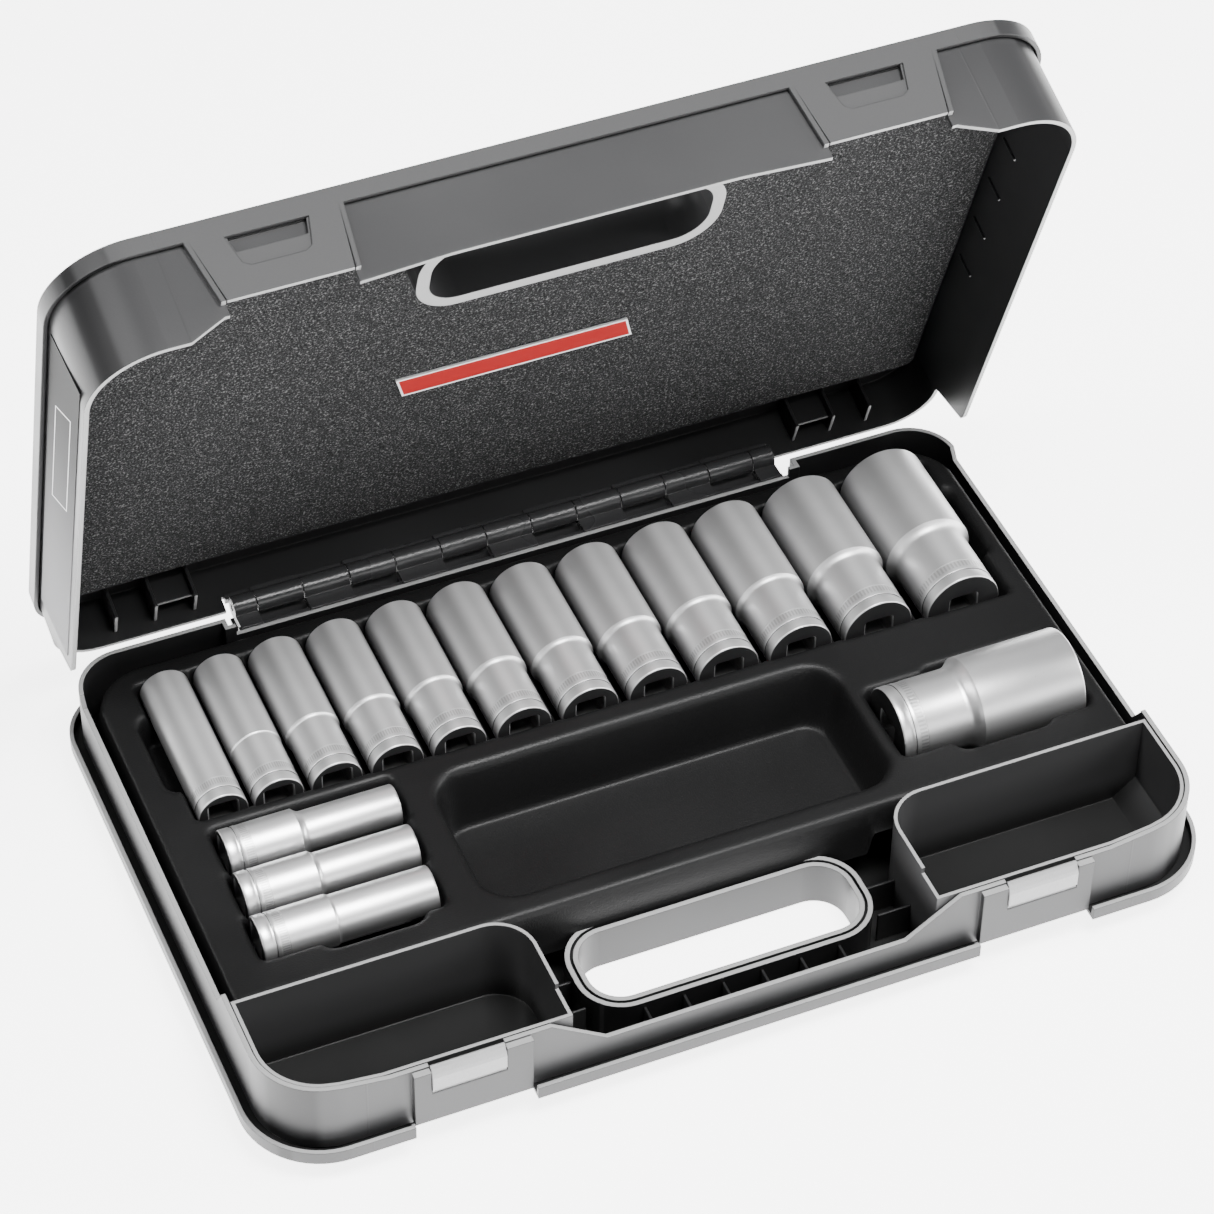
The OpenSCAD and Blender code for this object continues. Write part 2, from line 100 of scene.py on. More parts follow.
def area(name, place, aim, size, power, colour=(1, 1, 1)):
    data = bpy.data.lights.new(name, "AREA")
    data.shape = "RECTANGLE"
    data.size, data.size_y = size
    data.energy = power
    data.color = colour
    lamp = bpy.data.objects.new(name, data)
    lamp.location = place
    turn = (Vector(aim) - Vector(place)).to_track_quat("-Z", "Y")
    lamp.rotation_euler = turn.to_euler()
    bpy.context.scene.collection.objects.link(lamp)


def add_light():
    world = bpy.data.worlds.new("studio")
    world.use_nodes = True
    tree = world.node_tree
    coords = tree.nodes.new("ShaderNodeTexCoord")
    split = tree.nodes.new("ShaderNodeSeparateXYZ")
    tree.links.new(coords.outputs["Generated"], split.inputs[0])
    fade = tree.nodes.new("ShaderNodeMapRange")
    fade.interpolation_type = "SMOOTHSTEP"
    for slot, number in enumerate((-0.8, 0.5, 0.12, 0.6), 1):
        fade.inputs[slot].default_value = number
    tree.links.new(split.outputs["X"], fade.inputs[0])
    tree.links.new(fade.outputs[0], tree.nodes["Background"].inputs[1])
    bpy.context.scene.world = world
    area("top", (0.25, -0.45, 1.8), (0, 0, 0.05), (0.8, 0.8), 66)
    area("left", (-1.3, 0.1, 1.5), (0, 0, 0.05), (0.3, 1.5), 26)
    area("front", (0.5, -1.9, 0.6), (0, 0, 0.1), (2.0, 0.6), 18)
    area("right", (1.6, -0.5, 0.8), (0, 0, 0.1), (0.4, 1.4), 26)


def add_floor():
    mesh = bpy.data.meshes.new("floor")
    half = 6.0
    mesh.from_pydata([(-half, -half, 0), (half, -half, 0), (half, half, 0),
                      (-half, half, 0)], [], [(0, 1, 2, 3)])
    floor = bpy.data.objects.new("floor", mesh)
    floor.location.z = -0.0002
    bpy.context.scene.collection.objects.link(floor)
    material = bpy.data.materials.new("floor_paper")
    material.use_nodes = True
    shader = material.node_tree.nodes["Principled BSDF"]
    shader.inputs["Base Color"].default_value = (0.92, 0.92, 0.92, 1)
    shader.inputs["Roughness"].default_value = 0.9
    shader.inputs["Specular IOR Level"].default_value = 0.1
    shader.inputs["Emission Color"].default_value = (1, 1, 1, 1)
    shader.inputs["Emission Strength"].default_value = FLOOR_GLOW
    mesh.materials.append(material)


# ---------------------------------------------------------------- node helpers

class Nodes:
    """Short calls for building one material's nodes."""

    def __init__(self, name):
        self.material = bpy.data.materials.new(name)
        self.material.use_nodes = True
        self.tree = self.material.node_tree
        self.shader = self.tree.nodes["Principled BSDF"]
        coords = self.tree.nodes.new("ShaderNodeTexCoord")
        self.place = coords.outputs["Object"]
        self.normal = coords.outputs["Normal"]

    def put(self, socket, value):
        if isinstance(value, bpy.types.NodeSocket):
            self.tree.links.new(value, socket)
        elif isinstance(value, (tuple, list)) and len(value) == 3 and len(
                socket.default_value) == 4:
            socket.default_value = (*value, 1)
        else:
            socket.default_value = value

    def set(self, **values):
        for name, value in values.items():
            self.put(self.shader.inputs[name.replace("_", " ")], value)

    def math(self, kind, a, b=0.0, clamp=False):
        node = self.tree.nodes.new("ShaderNodeMath")
        node.operation = kind
        node.use_clamp = clamp
        self.put(node.inputs[0], a)
        self.put(node.inputs[1], b)
        return node.outputs[0]

    def vector(self, kind, a, b=(0, 0, 0)):
        node = self.tree.nodes.new("ShaderNodeVectorMath")
        node.operation = kind
        self.put(node.inputs[0], a)
        self.put(node.inputs[1], b)
        return node.outputs["Value" if kind in ("DOT_PRODUCT", "LENGTH") else "Vector"]

    def axis(self, vector, letter):
        node = self.tree.nodes.new("ShaderNodeSeparateXYZ")
        self.put(node.inputs[0], vector)
        return node.outputs[letter]

    def range(self, value, low, high, to_low=0.0, to_high=1.0, smooth=True):
        node = self.tree.nodes.new("ShaderNodeMapRange")
        node.interpolation_type = "SMOOTHSTEP" if smooth else "LINEAR"
        self.put(node.inputs[0], value)
        for slot, number in enumerate((low, high, to_low, to_high), 1):
            node.inputs[slot].default_value = number
        return node.outputs[0]

    def noise(self, scale, detail=2.0, vector=None, rough=0.5):
        node = self.tree.nodes.new("ShaderNodeTexNoise")
        self.put(node.inputs["Vector"], vector or self.place)
        node.inputs["Scale"].default_value = scale
        node.inputs["Detail"].default_value = detail
        node.inputs["Roughness"].default_value = rough
        return node.outputs["Fac"]

    def mix(self, share, a, b):
        node = self.tree.nodes.new("ShaderNodeMix")
        node.data_type = "RGBA"
        self.put(node.inputs["Factor"], share)
        self.put(node.inputs["A"], a)
        self.put(node.inputs["B"], b)
        return node.outputs["Result"]

    def bump(self, height, strength, distance, normal=None):
        node = self.tree.nodes.new("ShaderNodeBump")
        node.inputs["Strength"].default_value = strength
        node.inputs["Distance"].default_value = distance
        self.put(node.inputs["Height"], height)
        if normal:
            self.put(node.inputs["Normal"], normal)
        return node.outputs[0]

    def soft_edges(self, radius):
        node = self.tree.nodes.new("ShaderNodeBevel")
        node.samples = 4
        node.inputs["Radius"].default_value = radius
        return node.outputs[0]

    def closed_lid(self, vector, is_place=True):
        """Coordinates as if the lid were shut, so that its walls lie along the axes."""
        node = self.tree.nodes.new("ShaderNodeVectorRotate")
        node.rotation_type = "X_AXIS"
        self.put(node.inputs["Vector"], vector)
        node.inputs["Center"].default_value = HINGE if is_place else (0, 0, 0)
        node.inputs["Angle"].default_value = LID_OPEN
        return node.outputs[0]


# ------------------------------------------------------------------- materials

def shell_plastic(name, inside_shaded, light, floor_shaded, in_lid, rough=0.36):
    """Moulded plastic: fine grain, with painted shade inside the case, which makes it darker
    there than on its outer walls and darker still towards the floor, and a painted highlight on
    the upward faces along its edges.
    """
    n = Nodes(name)
    place, normal = n.place, n.normal
    if in_lid:
        place, normal = n.closed_lid(place), n.closed_lid(normal, False)
    flat = n.vector("MULTIPLY", place, (1, 1, 0))
    outward = n.vector("DOT_PRODUCT", n.vector("NORMALIZE", flat), normal)
    high = n.axis(place, "Z")
    reach_x = n.math("ABSOLUTE", n.axis(place, "X"))
    front = n.math("MULTIPLY", n.axis(place, "Y"), -1.0)
    edge_x = n.range(reach_x, 0.2025, 0.2045)
    edge_y = n.range(front, 0.1330, 0.1350)
    near_edge = n.math("MAXIMUM", edge_x, edge_y)
    # outer: where no painted shade goes: outer walls near the case's edge, the grip hole's
    # upright walls and, in the lid, its back faces
    outer = n.math("MULTIPLY", n.range(outward, 0.05, 0.3), near_edge)
    upright = n.range(n.math("ABSOLUTE", n.axis(normal, "Z")), 0.3, 0.6, 1.0, 0.0)
    in_grip = n.math("MULTIPLY", n.range(reach_x, 0.0602, 0.0606, 1.0, 0.0), n.range(
        n.math("ABSOLUTE", n.math("SUBTRACT", front, 0.098)), 0.0182, 0.0186, 1.0, 0.0))
    outer = n.math("MAXIMUM", outer, n.math("MULTIPLY", in_grip, upright))
    facing = n.math("MULTIPLY", n.axis(normal, "Z"), -1.0 if in_lid else 1.0)
    # rim: painted highlight, a pale grey on upward faces along the top edges of the walls (in
    # the base, its lip too)
    rim = n.range(facing, 0.4, 0.8)
    if in_lid:
        rim = n.math("MULTIPLY", rim, n.range(high, 0.0545, 0.0560, 1.0, 0.0))
        matt = n.range(front, 0.1404, 0.1410)
        back = n.math("MULTIPLY", n.range(high, 0.0655, 0.0662), n.range(facing, -0.5, -0.8))
        outer = n.math("MAXIMUM", outer, back)
    else:
        lip = n.range(n.math("ABSOLUTE", n.math("SUBTRACT", high, 0.0165)), 0.0003, 0.0006,
                      1.0, 0.0)
        rim = n.math("MULTIPLY", rim, n.math("MAXIMUM", lip, n.range(high, 0.0208, 0.0214)))
        matt = 0.0
    tone = n.noise(9, 3)
    grain = n.noise(1500, 2)
    mottle = n.math("ADD", n.math("MULTIPLY", tone, 0.22),
                    n.math("MULTIPLY", grain, 0.16))
    shade = n.math("ADD", mottle, 0.81)
    # painted shade: inside the case the colour is the darker one, going darker still towards
    # the floor; outer walls keep the lighter colour
    painted_inner_shade = n.mix(n.range(high, 0.006, 0.020), floor_shaded, inside_shaded)
    colour = n.mix(matt, n.mix(outer, painted_inner_shade, light), (0.050, 0.050, 0.051))
    # painted highlight on the rim faces
    colour = n.mix(rim, colour, (0.32, 0.32, 0.32))
    scaled = n.vector("SCALE", colour)
    n.put(scaled.node.inputs["Scale"], shade)
    polish = n.range(tone, 0.3, 0.7, rough - 0.05, rough + 0.07)
    n.set(Base_Color=scaled, Specular_IOR_Level=0.36,
          Roughness=n.math("ADD", polish, n.math("MULTIPLY", matt, 0.22)))
    seam = n.math("MULTIPLY", n.range(n.math("ABSOLUTE", n.math(
        "SUBTRACT", reach_x, 0.168)), 0.0002, 0.0005, 1.0, 0.0), outer)
    height = n.math("ADD", n.math("MULTIPLY", grain, 0.35), seam)
    edges = n.soft_edges(0.0008)
    n.set(Normal=n.bump(height, 0.25, 0.00025, edges))
    n.material.diffuse_color = (*inside_shaded, 1)
    return n.material


def grained_plastic(name, colour, rough, grain_scale=1400, strength=0.3, edge=0.0006,
                    gloss=0.45):
    n = Nodes(name)
    grain = n.noise(grain_scale, 2)
    tone = n.noise(14, 2)
    lift = n.math("ADD", n.math("MULTIPLY", grain, 0.25),
                  n.math("ADD", n.math("MULTIPLY", tone, 0.2), 0.77))
    scaled = n.vector("SCALE", colour)
    n.put(scaled.node.inputs["Scale"], lift)
    n.set(Base_Color=scaled, Roughness=n.range(tone, 0.3, 0.7, rough - 0.04, rough + 0.06),
          Specular_IOR_Level=gloss)
    n.set(Normal=n.bump(grain, strength, 0.0003, n.soft_edges(edge)))
    return n.material


def foam_material():
    """Dark foam with the pale flecks of its cut cells."""
    n = Nodes("speckled_foam")
    fine = n.noise(1150, 1.0, rough=0.6)
    finer = n.noise(2400, 1.0)
    fleck = n.range(fine, 0.56, 0.72)
    dust = n.range(finer, 0.58, 0.78, 0.0, 0.6)
    amount = n.math("MAXIMUM", fleck, dust)
    pits = n.range(fine, 0.30, 0.50, 1.0, 0.0)
    body = n.mix(pits, (0.018, 0.018, 0.0185), (0.004, 0.004, 0.004))
    n.set(Base_Color=n.mix(amount, body, (0.13, 0.13, 0.13)), Roughness=0.95,
          Specular_IOR_Level=0.1)
    n.set(Normal=n.bump(fine, 0.55, 0.0006))
    return n.material


def metal(name, rough, brushed, plated, tint=(0.78, 0.78, 0.785)):
    """Plated steel, with painted highlight streaks along it and painted shade on its drive-end
    face. Local X runs along the socket, from its drive end.
    """
    n = Nodes(name)
    along = n.axis(n.place, "X")
    rings = n.vector("MULTIPLY", n.place, (1, 0.04, 0.04))
    lines = n.noise(2600, 2, rings)
    cloud = n.noise(60, 3)
    speck = n.noise(2200, 1)
    # the stamped band beside the drive end: short raised strokes, with no lettering
    across = n.axis(n.place, "Y")
    upward = n.axis(n.place, "Z")
    angle = n.math("ARCTAN2", across, upward)
    stroke = n.math("SINE", n.math("MULTIPLY", angle, 64.0))
    stroke = n.range(stroke, -0.15, 0.25)
    band = n.math("MULTIPLY", n.range(along, 0.0077, 0.0081),
                  n.range(along, 0.0108, 0.0112, 1.0, 0.0))
    marks = n.math("MULTIPLY", stroke, band)
    colour = n.mix(n.range(cloud, 0.3, 0.7), tint, tuple(c * 0.95 for c in tint))
    colour = n.mix(n.math("MULTIPLY", marks, 0.35), colour, (0.20, 0.20, 0.20))
    # painted highlight streaks along the socket and painted shade at its sides, set by the
    # angle round its axis
    painted_streak_ramp = n.tree.nodes.new("ShaderNodeValToRGB")
    n.put(painted_streak_ramp.inputs[0], n.range(angle, -1.6, 1.6, smooth=False))
    ramp = painted_streak_ramp.color_ramp
    ramp.interpolation = "EASE"
    for place, grey in PAINTED_STREAKS:
        stop = ramp.elements.new(place)
        stop.color = (grey, grey, grey, 1)
    for stop in (ramp.elements[0], ramp.elements[-1]):
        stop.color = (0.3, 0.3, 0.3, 1)
    colour = n.vector("MULTIPLY", colour, painted_streak_ramp.outputs[0])
    # painted shade: the drive-end face is darkened almost to black
    end_face_shade = n.range(n.axis(n.normal, "X"), -0.95, -0.7, 1.0, 0.0)
    colour = n.mix(end_face_shade, colour, (0.035, 0.035, 0.036))
    turned = n.tree.nodes.new("ShaderNodeTangent")
    turned.direction_type = "RADIAL"
    turned.axis = "X"
    n.set(Base_Color=colour, Metallic=plated, Anisotropic=0.6, Tangent=turned.outputs[0])
    roughness = n.math("ADD", n.range(cloud, 0.3, 0.7, rough - 0.01, rough + 0.02),
                       n.math("MULTIPLY", speck, 0.06))
    n.set(Roughness=roughness)
    height = n.math("ADD", n.math("MULTIPLY", lines, brushed), n.math(
        "ADD", n.math("MULTIPLY", speck, 0.25), n.math("MULTIPLY", marks, -2.0)))
    n.set(Normal=n.bump(height, 0.22, 0.00012))
    return n.material


def badge_material():
    """Slanted plate in one plain colour with a pale rim, and no mark."""
    n = Nodes("badge_print")
    place = n.closed_lid(n.place)
    y = n.math("SUBTRACT", n.axis(place, "Y"), 0.007)
    x = n.math("SUBTRACT", n.axis(place, "X"), n.math("MULTIPLY", y, 4 / 14))
    rim_x = n.math("MINIMUM", n.math("ADD", x, 0.058), n.math("SUBTRACT", 0.046, x))
    rim_y = n.math("MINIMUM", y, n.math("SUBTRACT", 0.014, y))
    inside = n.range(n.math("MINIMUM", rim_x, rim_y), 0.0008, 0.0011)
    n.set(Base_Color=n.mix(inside, (0.8, 0.8, 0.8), (0.30, 0.008, 0.008)), Roughness=0.5,
          Specular_IOR_Level=0.2)
    n.set(Normal=n.bump(n.noise(900, 2), 0.08, 0.0002, n.soft_edges(0.0003)))
    return n.material


def label_material():
    """Label: black by the front, fading to grey by the hinge, with a printed pale outline."""
    n = Nodes("label_print")
    place = n.closed_lid(n.place)
    y = n.axis(place, "Y")
    z = n.axis(place, "Z")
    fade = n.range(y, -0.09, 0.10)
    ground = n.mix(fade, (0.012, 0.012, 0.012), (0.20, 0.20, 0.205))
    slant = n.math("SUBTRACT", y, n.math("MULTIPLY", n.math("SUBTRACT", z, 0.030), 0.9))
    far = n.math("MAXIMUM",
                 n.math("SUBTRACT", n.math("ABSOLUTE", n.math("ADD", slant, 0.045)), 0.035),
                 n.math("SUBTRACT", n.math("ABSOLUTE", n.math("SUBTRACT", z, 0.039)), 0.0085))
    line = n.range(n.math("ABSOLUTE", far), 0.0003, 0.0005, 1.0, 0.0)
    n.set(Base_Color=n.mix(line, ground, (0.75, 0.75, 0.75)), Roughness=0.6,
          Specular_IOR_Level=0.1)
    n.set(Normal=n.bump(n.noise(1200, 2), 0.06, 0.0002))
    return n.material


def dress(node, material):
    """Gives a CAD node its material."""
    mesh = NODES[node].data
    mesh.materials.clear()
    mesh.materials.append(material)


# --------------------------------------------------------------- socket pieces

STEPS = 96
ANGLES = [2 * math.pi * k / STEPS for k in range(STEPS)]


def round_ring(radius):
    return [radius] * STEPS


def flat_ring(across, sides, corner):
    """Radii of a regular hole with that size across its flats and softened corners."""
    ring = []
    for angle in ANGLES:
        a = angle % (2 * math.pi / sides) - math.pi / sides
        ring.append(min(across / 2 / math.cos(math.pi / sides - abs(a)), corner))
    return ring


def arc(x0, r0, x1, r1, steps=4):
    """Quarter-round edge from (x0, r0) to (x1, r1), leaving x0 along the radius."""
    points = []
    for k in range(steps + 1):
        t = math.pi / 2 * k / steps
        points.append((x0 + (x1 - x0) * (1 - math.cos(t)), r0 + (r1 - r0) * math.sin(t)))
    return points


def socket_profile(size, work, drive, length):
    """Rings (distance along the socket, radii) round the outside and back inside."""
    r1, r2 = work / 2, drive / 2
    neck = length * (0.5 if r1 == r2 else 0.36 if r1 > r2 else 0.42)
    step = abs(r1 - r2) * 1.6 + 0.5
    outer = arc(0, r2 - 0.8, 0.8, r2) + [
        (4.7, r2), (4.95, r2 - 0.12), (5.1, r2 - 0.45), (5.7, r2 - 0.45),
        (5.85, r2 - 0.12), (6.1, r2), (7.4, r2), (7.5, r2 - 0.12), (11.4, r2 - 0.12),
        (11.5, r2)]
    if r1 == r2:
        outer += [(neck, r1)]
    else:
        for k in range(9):
            t = k / 8
            bend = t * t if r1 > r2 else 1 - (1 - t) ** 2
            outer.append((neck + step * t, r2 + (r1 - r2) * bend))
    tail = arc(length, r1 - 0.9, length - 0.9, r1)
    outer += tail[::-1]
    rings = [(x, round_ring(r)) for x, r in outer]
    flats = size + 0.2
    corners = flats / math.cos(math.pi / 6)
    rings.append((length, round_ring(corners / 2 + 0.5)))
    hexagon = flat_ring(flats, 6, corners / 2 - 0.15)
    rings += [(length - 1.1, hexagon), (length - HEX_DEEP, hexagon)]
    rings += [(length - HEX_DEEP, round_ring(5.8)), (16, round_ring(5.8))]
    square = flat_ring(DRIVE, 4, DRIVE * 0.66)
    rings += [(16, square), (0.5, square)]
    rings.append((0, [r + 0.5 for r in square]))
    return rings


def build_socket(node, sizes, turn, material):
    """A finer socket in the place of its CAD node: local X runs from the drive end."""
    size, work, drive, length = sizes
    bm = bmesh.new()
    rings = []
    for x, radii in socket_profile(size, work, drive, length):
        rings.append([bm.verts.new((x * MM, r * math.cos(a) * MM, r * math.sin(a) * MM))
                      for a, r in zip(ANGLES, radii)])
    for k, ring in enumerate(rings):
        other = rings[(k + 1) % len(rings)]
        for i in range(STEPS):
            j = (i + 1) % STEPS
            bm.faces.new((ring[i], ring[j], other[j], other[i]))
    bmesh.ops.recalc_face_normals(bm, faces=bm.faces)
    for face in bm.faces:
        face.smooth = True
    for edge in bm.edges:
        if len(edge.link_faces) == 2 and edge.calc_face_angle(0) > math.radians(28):
            edge.smooth = False
    mesh = bpy.data.meshes.new(node + "_steel")
    bm.to_mesh(mesh)
    bm.free()
    mesh.materials.append(material)
    piece = bpy.data.objects.new(node + "_steel", mesh)
    bpy.context.scene.collection.objects.link(piece)
    low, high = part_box(node)
    centre = middle(node)
    if turn:
        piece.location = (centre.x, low.y, centre.z)
        piece.rotation_euler = (0, 0, math.pi / 2)
    else:
        piece.location = (low.x, centre.y, centre.z)
    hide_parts(node)
    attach(piece, node)


# ------------------------------------------------------------------- tray skin

def box_distance(x, y, x0, x1, y0, y1, r):
    """Signed distance to a rounded rectangle, below zero inside it."""
    dx = np.abs(x - (x0 + x1) / 2) - ((x1 - x0) / 2 - r)
    dy = np.abs(y - (y0 + y1) / 2) - ((y1 - y0) / 2 - r)
    outside = np.hypot(np.maximum(dx, 0), np.maximum(dy, 0))
    return outside + np.minimum(np.maximum(dx, dy), 0) - r


def pocket(distance, floor, edge=3.0, slope=9.0, top=TRAY_Z):
    """Height of a pocket with a rolled edge, given the distance to its outline."""
    roll = np.clip(distance, 0, edge)
    rolled = top - edge + np.sqrt(np.maximum(edge ** 2 - (edge - roll) ** 2, 0))
    wall = top - edge + slope * np.minimum(distance, 0)
    return np.where(distance > 0, rolled, np.maximum(wall, floor))


def tray_height(x, y):
    row_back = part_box("socket_15mm")[1].y / MM
    ridge = 29.0
    height = np.full_like(x, TRAY_Z)
    floors = np.full_like(x, ridge)
    outline = np.full_like(x, 99.0)
    for size, work, drive, length in ROW:
        centre = middle(f"socket_{size}mm")
        r = work / 2 + SEAT
        across = np.abs(x - centre.x / MM)
        trough = centre.z / MM - np.sqrt(np.maximum(r * r - across ** 2, 0))
        floors = np.minimum(floors, np.where(across < r, trough, 99))
        edge = box_distance(x, y, centre.x / MM - r, centre.x / MM + r,
                            row_back - length - 2, row_back + 1.5, 2.5)
        outline = np.minimum(outline, edge)
    height = np.minimum(height, pocket(outline, floors))
    outline[:] = 99
    floors[:] = ridge
    for size, work, drive, length in SIDE:
        low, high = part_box(f"socket_{size}mm")
        centre = middle(f"socket_{size}mm")
        r = max(work, drive) / 2 + SEAT
        across = np.abs(y - centre.y / MM)
        trough = centre.z / MM - np.sqrt(np.maximum(r * r - across ** 2, 0))
        floors = np.minimum(floors, np.where(across < r, trough, 99))
        outline = np.minimum(outline, box_distance(
            x, y, low.x / MM - 1.5, high.x / MM + 1.5, centre.y / MM - r,
            centre.y / MM + r, 2.5))
    height = np.minimum(height, pocket(outline, floors))
    low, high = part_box("socket_32mm")
    centre = middle("socket_32mm")
    size, work, drive, length = LARGE
    r = work / 2 + SEAT
    across = np.abs(y - centre.y / MM)
    trough = centre.z / MM - np.sqrt(np.maximum(r * r - across ** 2, 0))
    neck = low.x / MM + length * 0.36
    outline = np.minimum(
        box_distance(x, y, low.x / MM - 1.5, high.x / MM + 1.5, centre.y / MM
                     - drive / 2 - 2, centre.y / MM + drive / 2 + 2, 3),
        box_distance(x, y, neck - 4, high.x / MM + 1.5, centre.y / MM - r,
                     centre.y / MM + r, 4))
    height = np.minimum(height, pocket(outline, np.where(across < r, trough, 20)))
    first, last = middle("socket_15mm").x / MM, middle("socket_30mm").x / MM
    for cx, cy, w, h in ((first - 10.5, 66, 7, 22), (last + 18, 66, 7, 22),
                         (-135, -53, 22, 7), (150, centre.y / MM - 18, 22, 7)):
        notch = box_distance(x, y, cx - w, cx + w, cy - h, cy + h, 6)
        height = np.minimum(height, pocket(notch, 24.0, 4.0))
    well = box_distance(x, y, -86, 97, -62, 9, 15)
    depth = np.maximum(TRAY_Z - 4 + 6.5 * np.minimum(well, 0), 9.0)
    height = np.minimum(height, pocket(well, depth, 4.0, 6.5))
    return height


def soften(grid, times=1):
    for _ in range(times):
        for axis in (0, 1):
            before = np.roll(grid, 1, axis)
            after = np.roll(grid, -1, axis)
            grid = 0.25 * before + 0.5 * grid + 0.25 * after
    return grid


def build_tray(material):
    """The thermoformed sheet: one surface with rolled edges round each pocket."""
    low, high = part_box("insert_tray")
    x0, x1 = low.x / MM + 0.05, high.x / MM - 0.05
    y0, y1 = low.y / MM + 0.05, high.y / MM - 0.05
    nx, ny = 408, 200
    x, y = np.meshgrid(np.linspace(x0, x1, nx), np.linspace(y0, y1, ny), indexing="ij")
    rim = box_distance(x, y, x0 + 2.5, x1 - 2.5, -999, y1 - 2.5, 23.5)
    rim = np.maximum(rim, y0 + 2.5 - y)
    roll = np.clip(rim + 3.5, 0, 3.5)
    rolled = TRAY_Z - 3.5 + np.sqrt(np.maximum(3.5 ** 2 - roll ** 2, 0))
    foot = np.where((np.abs(x) < 78) & (y < y0 + 3), 8.0, 27.0)
    outside = np.where(rim > 0, np.maximum(TRAY_Z - 3.5 - 12 * rim, foot), rolled)
    height = soften(np.minimum(tray_height(x, y), outside))
    verts = np.stack([x, y, height], -1).reshape(-1, 3) * MM
    index = np.arange(nx * ny).reshape(nx, ny)
    quads = np.stack([index[:-1, :-1], index[1:, :-1], index[1:, 1:], index[:-1, 1:]],
                     -1).reshape(-1, 4)
    border = box_distance(x, y, x0, x1, -999, y1, 26)
    keep = (border.reshape(-1)[quads] < 0.3).all(1)
    mesh = bpy.data.meshes.new("tray_skin")
    mesh.from_pydata(verts.tolist(), [], quads[keep].tolist())
    mesh.materials.append(material)
    mesh.polygons.foreach_set("use_smooth", [True] * len(mesh.polygons))
    piece = bpy.data.objects.new("tray_skin", mesh)
    bpy.context.scene.collection.objects.link(piece)
    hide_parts(*[name for name in TRAY_NODES if name in NODES])
    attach(piece, "base")


# ------------------------------------------------------------------------ foam

def build_foam(material):
    """The foam pad: soft edges and a slightly uneven face."""
    shut = Matrix.Translation(HINGE) @ Matrix.Rotation(LID_OPEN, 4, "X") \
        @ Matrix.Translation(-HINGE)
    mesh = NODES["foam_pad"].data.copy()
    mesh.transform(shut)
    bm = bmesh.new()
    bm.from_mesh(mesh)
    bmesh.ops.remove_doubles(bm, verts=bm.verts, dist=1e-6)
    bm.to_mesh(mesh)
    bm.free()
    piece = bpy.data.objects.new("foam_lining", mesh)
    bpy.context.scene.collection.objects.link(piece)
    remesh = piece.modifiers.new("remesh", "REMESH")
    remesh.mode = "VOXEL"
    remesh.voxel_size = 0.0022
    bpy.context.view_layer.update()
    graph = bpy.context.evaluated_depsgraph_get()
    fine = bpy.data.meshes.new_from_object(piece.evaluated_get(graph))
    piece.modifiers.clear()
    piece.data = fine
    face_z = min(v.co.z for v in fine.vertices)
    for v in fine.vertices:
        if v.co.z < face_z + 0.003:
            wave = math.sin(v.co.x * 47 + 1.3) * math.sin(v.co.y * 61 + 0.4)
            v.co.z += 0.0002 + 0.00018 * wave
    bm = bmesh.new()
    bm.from_mesh(fine)
    for _ in range(3):
        bmesh.ops.smooth_vert(bm, verts=bm.verts, factor=0.5, use_axis_x=True,
                              use_axis_y=True, use_axis_z=True)
    for face in bm.faces:
        face.smooth = True
    bm.to_mesh(fine)
    bm.free()
    fine.transform(shut.inverted())
    fine.materials.clear()
    fine.materials.append(material)
    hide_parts("foam_pad")
    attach(piece, "lid")


# ---------------------------------------------------------------- small pieces

def lid_turn():
    """From shut-lid coordinates to the lid's place at rest."""
    return Matrix.Translation(HINGE) @ Matrix.Rotation(-LID_OPEN, 4, "X") \
        @ Matrix.Translation(-HINGE)


def bars(name, boxes, material, body, in_lid=False, edge=0.3):
    """Several small bevelled ribs in one piece, each given by its corners in mm."""
    bm = bmesh.new()
    for x0, x1, y0, y1, z0, z1 in boxes:
        made = bmesh.ops.create_cube(bm, size=1.0)["verts"]
        for v in made:
            v.co = Vector((x0 + (v.co.x + 0.5) * (x1 - x0), y0 + (v.co.y + 0.5) * (y1 - y0),
                           z0 + (v.co.z + 0.5) * (z1 - z0))) * MM
    bmesh.ops.bevel(bm, geom=list(bm.edges), offset=edge * MM, segments=2,
                    affect="EDGES", profile=0.5)
    mesh = bpy.data.meshes.new(name)
    bm.to_mesh(mesh)
    bm.free()
    if in_lid:
        mesh.transform(lid_turn())
    mesh.materials.append(material)
    piece = bpy.data.objects.new(name, mesh)
    bpy.context.scene.collection.objects.link(piece)
    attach(piece, body)


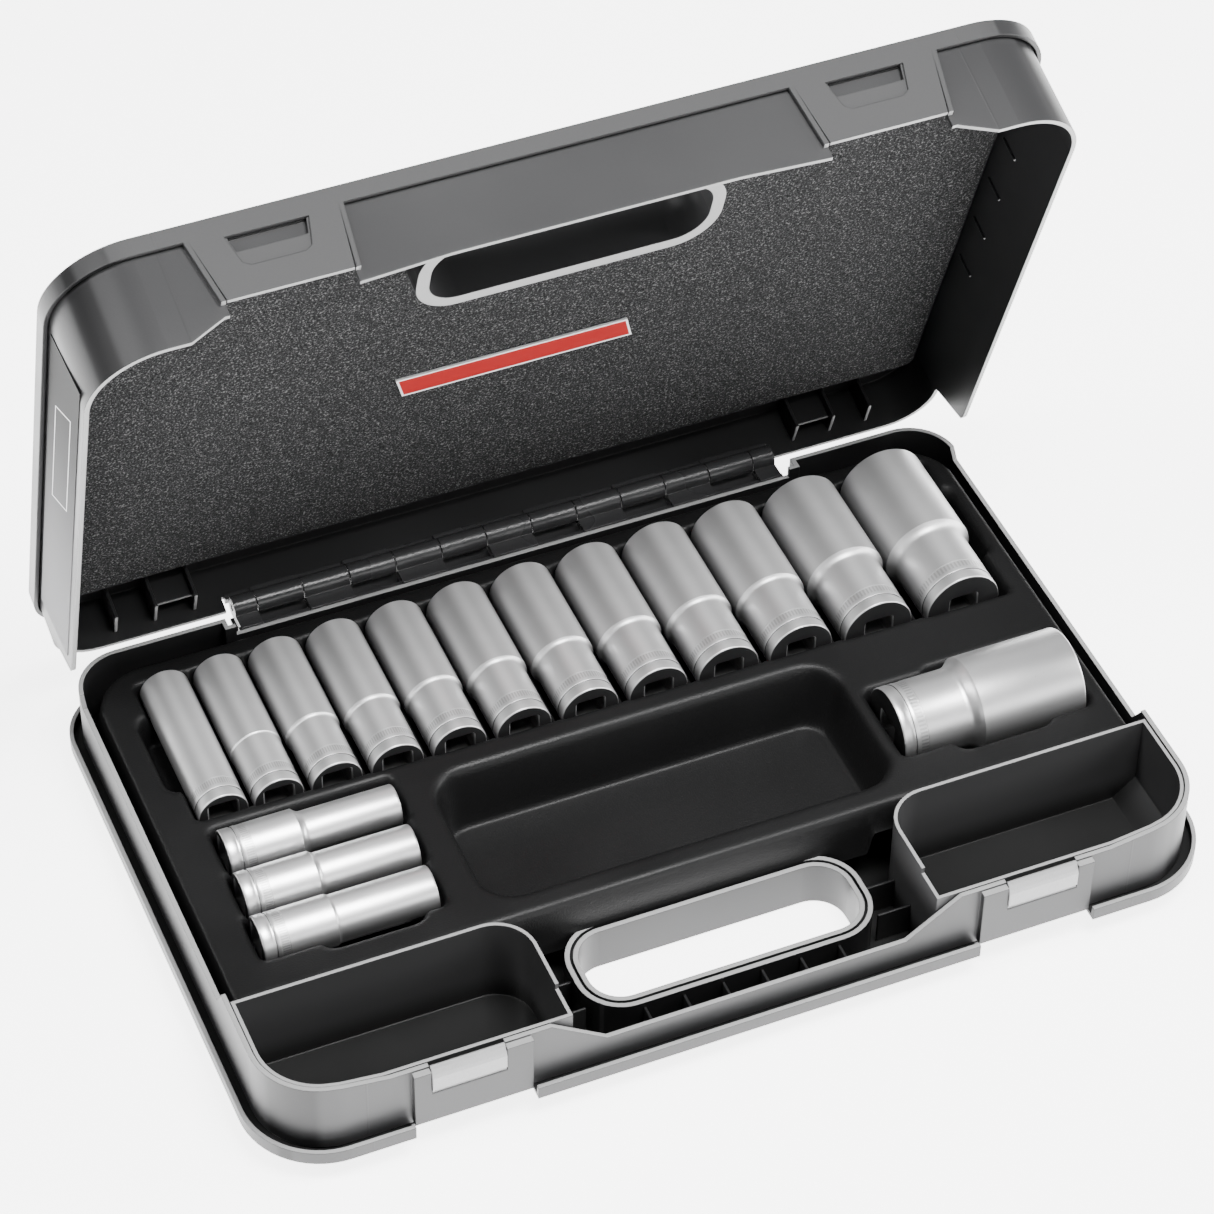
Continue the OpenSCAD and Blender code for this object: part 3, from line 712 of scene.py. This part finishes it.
def add_ribs(base_material, lid_material):
    pitch = 17.3
    front = [((i - 2.5) * pitch - 0.6, (i - 2.5) * pitch + 0.6, -134.6, -121.2, 2.2, 19)
             for i in range(6)]
    side = []
    for y in (-112, -97):
        side += [(65.2, 80, y - 0.6, y + 0.6, 2.2, 18), (-80, -65.2, y - 0.6, y + 0.6, 2.2, 18)]
    bars("grip_ribs", front + side, base_material, "base")
    rear = [((k - 6.5) * 21.4 - 0.6, (k - 6.5) * 21.4 + 0.6, 123.2, 131, 15, 27.9)
            for k in range(1, 13)]
    bars("rear_ribs", rear, base_material, "base")
    frames = []
    for s in (-1, 1):
        for x in (142, 160, 178):
            a, b = sorted((s * x, s * (x + 1.5)))
            frames.append((a, b, 127.2, 141, 46, 64.5))
        a, b = sorted((s * 143, s * 160.5))
        frames.append((a, b, 131.5, 133, 49, 64.5))
        for y in (-90, -60, -30, 0, 30):
            a, b = sorted((s * 206.4, s * 207.5))
            frames.append((a, b, y, y + 1.2, 46, 57.8))
    bars("lid_ribs", frames, lid_material, "lid", in_lid=True)


# ----------------------------------------------------------------------- build

add_camera()
add_light()
add_floor()

# painted shade: the colour at the floor of the case and the bins
black = (0.008, 0.008, 0.008)
base_plastic = shell_plastic("base_plastic", (0.012, 0.012, 0.0125), (0.036, 0.036, 0.037),
                             black, False)
lid_plastic = shell_plastic("lid_plastic", (0.010, 0.010, 0.0105), (0.032, 0.032, 0.033),
                            (0.010, 0.010, 0.0105), True)
bin_plastic = shell_plastic("bin_plastic", (0.042, 0.042, 0.043), (0.042, 0.042, 0.043),
                            black, False)
tray_plastic = grained_plastic("tray_sheet", (0.0055, 0.0055, 0.0057), 0.45, 1300, 0.45,
                               gloss=0.28)
hinge_plastic = grained_plastic("hinge_plastic", (0.03, 0.03, 0.031), 0.25)
tab_plastic = grained_plastic("tab_plastic", (0.30, 0.30, 0.303), 0.32)
steel = metal("pin_steel", 0.3, 0.5, 0.9, (0.6, 0.6, 0.61))
satin = metal("satin_chrome", 0.36, 0.5, 0.62, (0.86, 0.86, 0.865))
polished = metal("polished_chrome", 0.27, 0.25, 0.8, (0.9, 0.9, 0.905))

dress("base_shell", base_plastic)
dress("lid_shell", lid_plastic)
dress("left_compartment", bin_plastic)
dress("right_compartment", bin_plastic)
dress("base_hinge_leaf", hinge_plastic)
dress("lid_hinge_leaf", hinge_plastic)
dress("hinge_pin", steel)
dress("left_latch_tab", tab_plastic)
dress("right_latch_tab", tab_plastic)
dress("badge_plate", badge_material())
dress("side_label", label_material())

for sizes in ROW:
    build_socket(f"socket_{sizes[0]}mm", sizes, True, satin)
for sizes in SIDE + [LARGE]:
    build_socket(f"socket_{sizes[0]}mm", sizes, False, polished)
build_tray(tray_plastic)
build_foam(foam_material())
add_ribs(base_plastic, lid_plastic)
